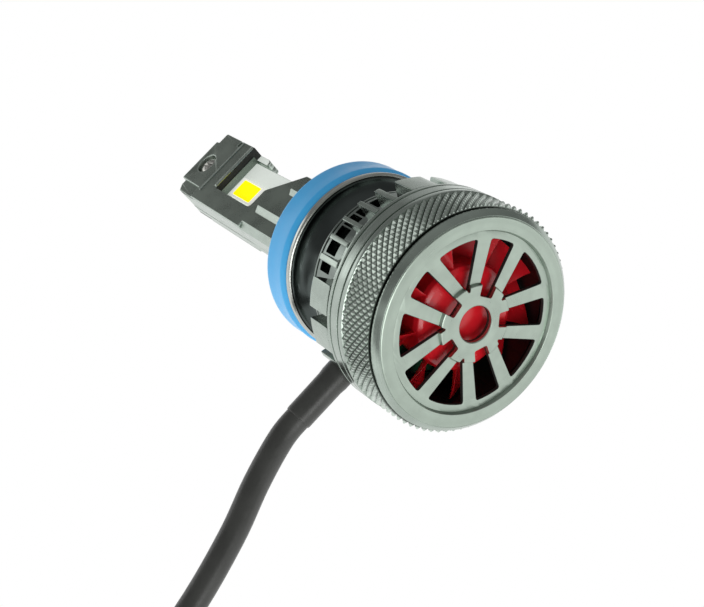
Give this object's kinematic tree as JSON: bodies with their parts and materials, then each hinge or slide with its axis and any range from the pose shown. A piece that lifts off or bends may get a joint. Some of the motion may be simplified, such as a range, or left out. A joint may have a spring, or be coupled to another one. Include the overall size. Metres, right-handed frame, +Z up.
{
  "type": "headlight bulb",
  "caption": "LED headlight bulb with a flat two-faced lamp stem, sealed turning collar, finned fan-cooled body and a hanging pigtail with a connector.",
  "frame": {"origin": "on the bulb's axis at the collar's seat, where the lamp housing holds it", "axes": "+X along the bulb's axis towards the fan end, +Z up, the two lamp faces look along -Y and +Y"},
  "size_m": [0.078, 0.029, 0.1525],
  "materials": {
    "gunmetal": "dark anodised, smooth",
    "dark_metal": "turned and polished, dark",
    "light_metal": "satin, pale grey",
    "knurl_metal": "diamond knurled",
    "steel": "plated",
    "copper": "bare copper",
    "white_board": "white solder resist over a copper core",
    "bronze": "sintered bronze",
    "led_white": "white ceramic package",
    "phosphor": "yellow phosphor in clear resin",
    "blue_silicone": "soft satin silicone",
    "black_rubber": "matt rubber",
    "cable_jacket": "smooth black jacket",
    "black_plastic": "moulded, fine grain",
    "red_plastic": "moulded, glossy red",
    "circuit_board": "green solder resist",
    "magnet": "dark ferrite"
  },
  "bodies": {
    "lamp": {"core_board": "white_board", "cover_plate_near": "gunmetal", "cover_plate_far": "gunmetal", "led_package_near": "led_white", "led_package_far": "led_white", "led_phosphor_near": "phosphor", "led_phosphor_far": "phosphor", "guide_key_low_near": "light_metal", "guide_key_low_far": "light_metal", "guide_key_high_near": "light_metal", "guide_key_high_far": "light_metal", "tip_screw": "steel", "tip_nut": "steel", "neck_ring": "black_rubber", "cooler_body": "light_metal", "knurl_sleeve": "knurl_metal", "wheel_cover": "light_metal", "fan_frame": "black_plastic", "bearing_bush": "bronze", "stator_core": "copper", "fan_board": "circuit_board", "driver_board": "circuit_board", "driver_capacitor": "steel", "driver_inductor": "magnet", "driver_chip": "black_plastic", "led_lead_upper": "red_plastic", "led_lead_lower": "cable_jacket", "strain_relief": "black_rubber", "cord": "cable_jacket", "connector_boot": "black_rubber", "connector_housing": "black_plastic", "blade_left": "steel", "blade_right": "steel"},
    "collar": {"collar_body": "dark_metal", "collar_seal": "blue_silicone", "collar_set_screw": "steel"},
    "fan_rotor": {"impeller": "red_plastic", "rotor_magnet": "magnet", "fan_shaft": "steel"}
  },
  "joints": [
    {"name": "collar_turn", "type": "hinge", "parent": "lamp", "child": "collar", "pos_m": [0, 0, 0], "axis": [1, 0, 0], "range_deg": [-180, 180]},
    {"name": "fan_spin", "type": "hinge", "parent": "lamp", "child": "fan_rotor", "pos_m": [0.025, 0, 0], "axis": [1, 0, 0], "continuous": true}
  ]
}
